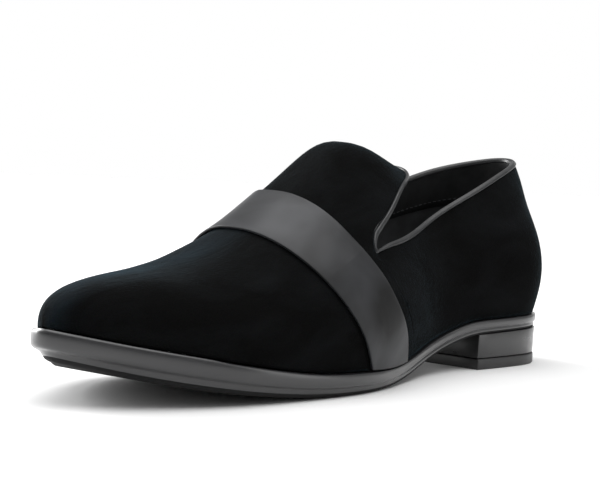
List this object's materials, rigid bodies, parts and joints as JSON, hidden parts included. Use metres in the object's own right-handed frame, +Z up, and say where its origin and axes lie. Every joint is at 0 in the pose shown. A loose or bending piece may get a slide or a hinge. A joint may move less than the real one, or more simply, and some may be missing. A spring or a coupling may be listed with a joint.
{
  "type": "velvet loafer",
  "caption": "Slip-on dress loafer for the left foot with a velvet upper, a satin band over the vamp, a bound V-cut collar, a stepped sole and a low stacked heel.",
  "frame": {"origin": "middle of the shoe's outline on the floor that it stands on", "axes": "+X from the heel to the toe, +Y to the outer side of the left foot, +Z up"},
  "size_m": [0.2802, 0.095, 0.0983],
  "materials": {
    "velvet": "short dense velvet pile, near black with a blue-green sheen",
    "satin": "smooth black satin with a soft broad sheen",
    "binding": "fine grained black leather, low sheen",
    "sole": "moulded black, edge dressed to a satin gloss",
    "lining": "smooth dark lining leather, matt",
    "heel": "stacked, edge dressed black to a satin gloss",
    "lift": "matt black rubber"
  },
  "bodies": {
    "root": {"upper": "velvet", "vamp_band": "satin", "topline_binding": "binding", "outsole": "sole", "insole": "lining", "heel_block": "heel", "top_lift": "lift"}
  },
  "joints": []
}
